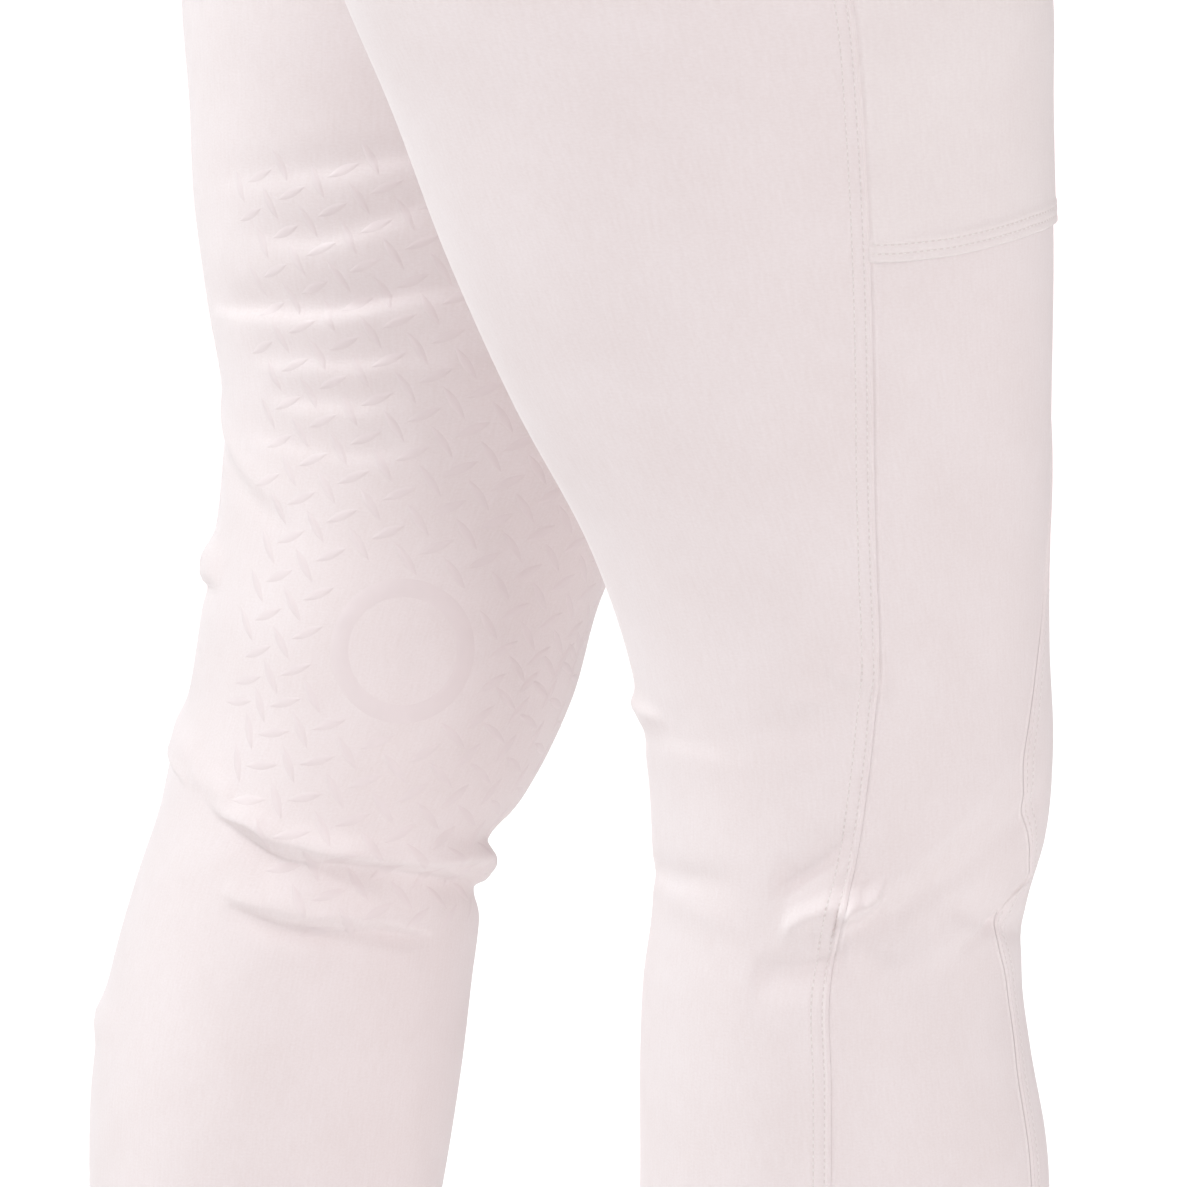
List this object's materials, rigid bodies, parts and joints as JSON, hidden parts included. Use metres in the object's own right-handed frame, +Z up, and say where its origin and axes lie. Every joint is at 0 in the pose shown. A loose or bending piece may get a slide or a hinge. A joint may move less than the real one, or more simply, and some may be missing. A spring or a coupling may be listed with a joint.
{
  "type": "riding leggings",
  "caption": "Close-fitting stretch riding leggings in a walking pose, hollow and open at waist and hems, with a thigh pocket.",
  "frame": {"origin": "middle of the waistband's ring, where the wearer's waist holds the garment up", "axes": "+Z up along the wearer, the front of the garment faces -Y, +X towards the wearer's left"},
  "size_m": [0.3512, 0.3331, 0.96],
  "materials": {
    "leg_knit": "off-white warp-knit stretch cloth, matt, with fine lengthwise ribs; silicone grip print on the inner leg",
    "pocket_knit": "the same off-white stretch cloth, one layer thick",
    "waistband_knit": "the same off-white stretch cloth, doubled"
  },
  "bodies": {
    "root": {"front_right": "leg_knit", "back_right": "leg_knit", "front_left": "leg_knit", "back_left": "leg_knit", "pocket_right": "pocket_knit", "waistband": "waistband_knit"}
  },
  "joints": []
}
